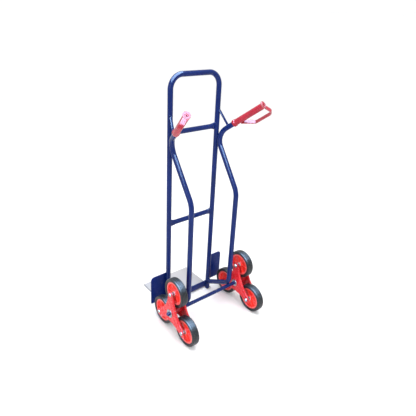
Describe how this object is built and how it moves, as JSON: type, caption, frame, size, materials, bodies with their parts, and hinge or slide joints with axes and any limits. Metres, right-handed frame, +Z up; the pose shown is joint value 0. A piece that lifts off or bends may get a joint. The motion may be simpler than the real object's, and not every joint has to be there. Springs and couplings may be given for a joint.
{
  "type": "stair-climbing hand truck",
  "caption": "Upright tube-frame hand truck with a toe plate, splayed guarded grips and a three-wheel star at each end of its axle, for moving boxes up stairs.",
  "frame": {"origin": "on the floor, at the middle of the whole truck's footprint box", "axes": "+X to the user's left as seen from behind the truck, along the axle; +Y to the rear, from the toe plate towards the wheels and grips; +Z up"},
  "size_m": [0.5926, 0.63, 1.364],
  "materials": {
    "frame_blue": "glossy ultramarine blue enamel on steel tube",
    "guard_blue": "glossy navy blue enamel on flat steel",
    "toe_plate": "satin bare sheet with light rub marks",
    "star_red": "glossy red enamel on pressed steel",
    "rim_red": "bright orange-red moulded plastic",
    "grip_red": "crimson moulded plastic",
    "tyre": "matt black solid rubber",
    "zinc": "bright zinc plating",
    "nylon": "natural nylon",
    "black_plastic": "black moulded plug"
  },
  "bodies": {
    "frame": {"main_loop_tube": "frame_blue", "upper_crossbar": "frame_blue", "middle_crossbar": "frame_blue", "lower_crossbar": "guard_blue", "rear_tube_left": "frame_blue", "rear_tube_right": "frame_blue", "brace_strap_left": "frame_blue", "brace_strap_right": "frame_blue", "wheel_guard_left": "guard_blue", "wheel_guard_right": "guard_blue", "toe_plate": "toe_plate", "toe_side_bar_left": "frame_blue", "toe_side_bar_right": "frame_blue", "foot_plug_left": "black_plastic", "foot_plug_right": "black_plastic", "axle_bar": "frame_blue", "axle_collars": "zinc", "axle_washers": "zinc", "split_pins": "zinc", "grip_left": "grip_red", "grip_right": "grip_red"},
    "star_left": {"star_outer_plate_left": "star_red", "star_inner_plate_left": "star_red", "star_hub_tube_left": "star_red", "star_hub_bushes_left": "nylon", "wheel_bolts_left": "zinc", "wheel_nuts_left": "zinc", "wheel_spacers_left": "zinc"},
    "star_right": {"star_outer_plate_right": "star_red", "star_inner_plate_right": "star_red", "star_hub_tube_right": "star_red", "star_hub_bushes_right": "nylon", "wheel_bolts_right": "zinc", "wheel_nuts_right": "zinc", "wheel_spacers_right": "zinc"},
    "wheel_left_top": {"tyre_left_top": "tyre", "rim_left_top": "rim_red", "wheel_bush_left_top": "nylon"},
    "wheel_left_rear": {"tyre_left_rear": "tyre", "rim_left_rear": "rim_red", "wheel_bush_left_rear": "nylon"},
    "wheel_left_front": {"tyre_left_front": "tyre", "rim_left_front": "rim_red", "wheel_bush_left_front": "nylon"},
    "wheel_right_top": {"tyre_right_top": "tyre", "rim_right_top": "rim_red", "wheel_bush_right_top": "nylon"},
    "wheel_right_rear": {"tyre_right_rear": "tyre", "rim_right_rear": "rim_red", "wheel_bush_right_rear": "nylon"},
    "wheel_right_front": {"tyre_right_front": "tyre", "rim_right_front": "rim_red", "wheel_bush_right_front": "nylon"}
  },
  "joints": [
    {"name": "star_left_spin", "type": "hinge", "parent": "frame", "child": "star_left", "pos_m": [0.239, 0.13104, 0.14], "axis": [1, 0, 0], "continuous": true},
    {"name": "star_right_spin", "type": "hinge", "parent": "frame", "child": "star_right", "pos_m": [-0.239, 0.13104, 0.14], "axis": [1, 0, 0], "continuous": true},
    {"name": "wheel_left_top_spin", "type": "hinge", "parent": "star_left", "child": "wheel_left_top", "pos_m": [0.239, 0.13104, 0.26], "axis": [1, 0, 0], "continuous": true},
    {"name": "wheel_left_rear_spin", "type": "hinge", "parent": "star_left", "child": "wheel_left_rear", "pos_m": [0.239, 0.23496, 0.08], "axis": [1, 0, 0], "continuous": true},
    {"name": "wheel_left_front_spin", "type": "hinge", "parent": "star_left", "child": "wheel_left_front", "pos_m": [0.239, 0.02712, 0.08], "axis": [1, 0, 0], "continuous": true},
    {"name": "wheel_right_top_spin", "type": "hinge", "parent": "star_right", "child": "wheel_right_top", "pos_m": [-0.239, 0.13104, 0.26], "axis": [1, 0, 0], "continuous": true},
    {"name": "wheel_right_rear_spin", "type": "hinge", "parent": "star_right", "child": "wheel_right_rear", "pos_m": [-0.239, 0.23496, 0.08], "axis": [1, 0, 0], "continuous": true},
    {"name": "wheel_right_front_spin", "type": "hinge", "parent": "star_right", "child": "wheel_right_front", "pos_m": [-0.239, 0.02712, 0.08], "axis": [1, 0, 0], "continuous": true}
  ]
}
